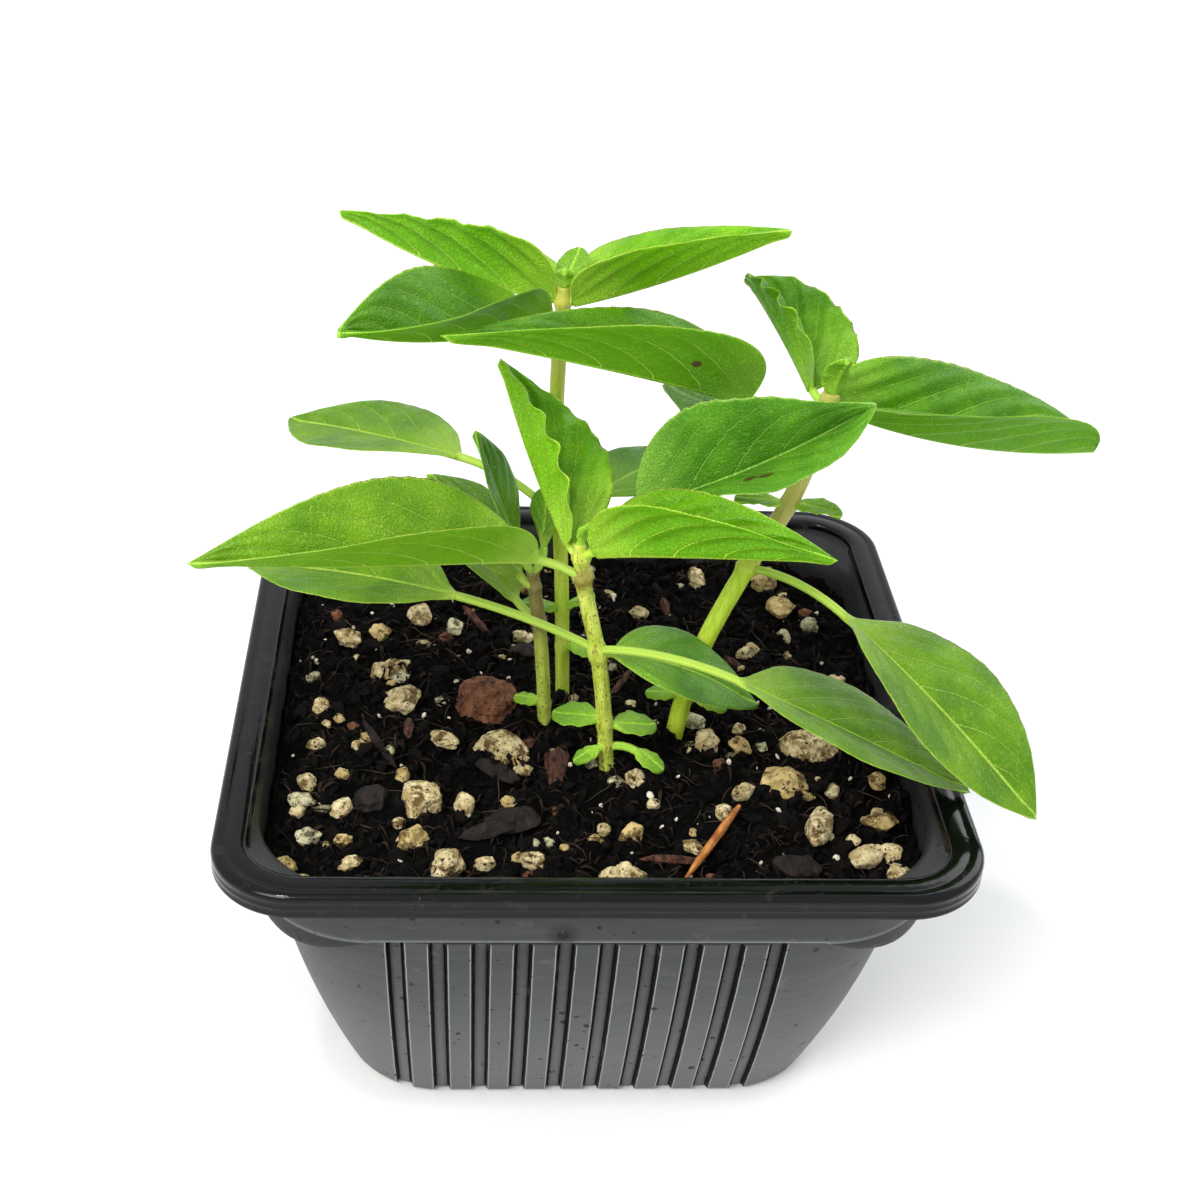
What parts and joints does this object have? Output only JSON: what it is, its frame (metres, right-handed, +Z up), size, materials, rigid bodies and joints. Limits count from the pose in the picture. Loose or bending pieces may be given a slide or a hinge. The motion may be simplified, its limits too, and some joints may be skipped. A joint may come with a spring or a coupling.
{
  "type": "potted basil plant",
  "caption": "Young basil in a shallow square nursery pot of black plastic with fluted sides, filled with dark peat, pumice and bark; stands on a sill, bench or shelf.",
  "frame": {"origin": "centre of the pot's underside, on the surface it stands on", "axes": "+Z up; the pot's sides are square to X and Y, and the side seen first looks along -Y"},
  "size_m": [0.1246, 0.102, 0.1201],
  "materials": {
    "pot": "thin pressed plastic, glossy on the rim and satin on the sides",
    "soil": "moist fibrous peat",
    "stem": "green stem, brownish towards the base, finely hairy",
    "leaf": "mid-green leaf with a soft sheen",
    "leaf_young": "bright young leaf with a soft sheen",
    "pumice": "rough porous stone",
    "lava": "rough porous stone",
    "bark": "rough dark bark",
    "wood": "raw split wood"
  },
  "bodies": {
    "root": {"pot": "pot", "soil": "soil", "stem_a": "stem", "stem_b": "stem", "stem_c": "stem", "stem_d": "stem", "leaf_a_low_left": "leaf", "leaf_a_low_right": "leaf", "leaf_a_axil": "leaf", "leaf_a_up_left": "leaf", "leaf_a_up_right": "leaf", "leaf_a_young_right": "leaf_young", "leaf_a_young_up": "leaf_young", "leaf_b_low_left": "leaf", "leaf_b_left": "leaf", "leaf_b_up": "leaf", "leaf_b_small": "leaf", "leaf_c_left_up": "leaf_young", "leaf_c_right_up": "leaf_young", "leaf_c_dark_left": "leaf", "leaf_c_low_left": "leaf", "leaf_c_low_right": "leaf", "leaf_d_front_left": "leaf", "leaf_d_pale_left": "leaf", "leaf_d_low_right": "leaf", "leaf_d_up_right": "leaf_young", "leaf_d_up": "leaf_young", "pumice_1": "pumice", "pumice_2": "pumice", "pumice_3": "pumice", "pumice_4": "pumice", "pumice_5": "pumice", "pumice_6": "pumice", "pumice_7": "pumice", "lava_stone": "lava", "bark_chip": "bark", "bark_flake": "bark", "wood_sliver": "wood"}
  },
  "joints": []
}
